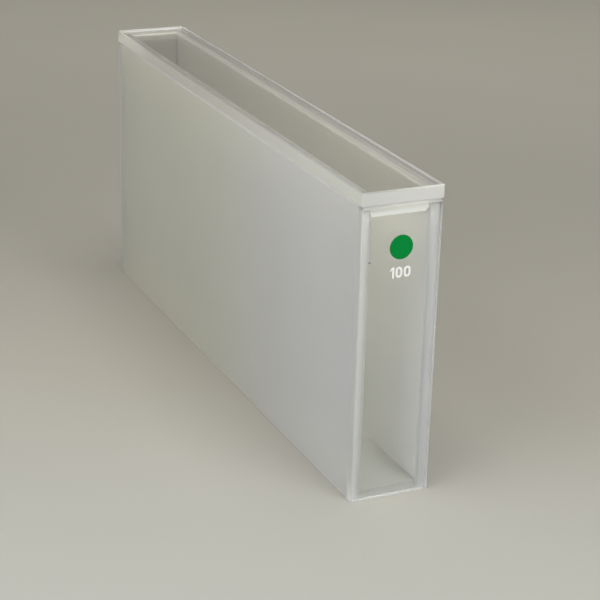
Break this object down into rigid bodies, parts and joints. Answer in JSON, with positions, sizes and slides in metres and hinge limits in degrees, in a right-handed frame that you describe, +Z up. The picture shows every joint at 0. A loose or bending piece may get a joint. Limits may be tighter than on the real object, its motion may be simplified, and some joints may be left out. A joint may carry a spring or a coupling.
{
  "type": "long-path glass cuvette with lid",
  "caption": "Long narrow glass cell with clear end windows, ground side walls and a loose flat lid, for holding liquid in a light beam.",
  "frame": {"origin": "middle of the flat underside, level with the surface that the cell stands on", "axes": "+Z up; Y is the light path, with the marked window facing -Y and the plain one facing +Y; X is across the narrow width"},
  "size_m": [0.0128, 0.1028, 0.0471],
  "materials": {
    "polished_glass": "clear, polished, ground on its narrow edges",
    "ground_glass": "milky, fine ground on every face",
    "lid_glass": "clear, polished faces, bright ground edges",
    "green_ink": "fired enamel ink, satin",
    "white_ink": "fired enamel ink, satin"
  },
  "bodies": {
    "root": {"front_window": "polished_glass", "rear_window": "polished_glass", "left_wall": "ground_glass", "right_wall": "ground_glass", "base_plate": "ground_glass", "lid_cover": "lid_glass", "lid_locating_plate": "lid_glass", "green_dot": "green_ink", "path_numerals": "white_ink"}
  },
  "joints": []
}
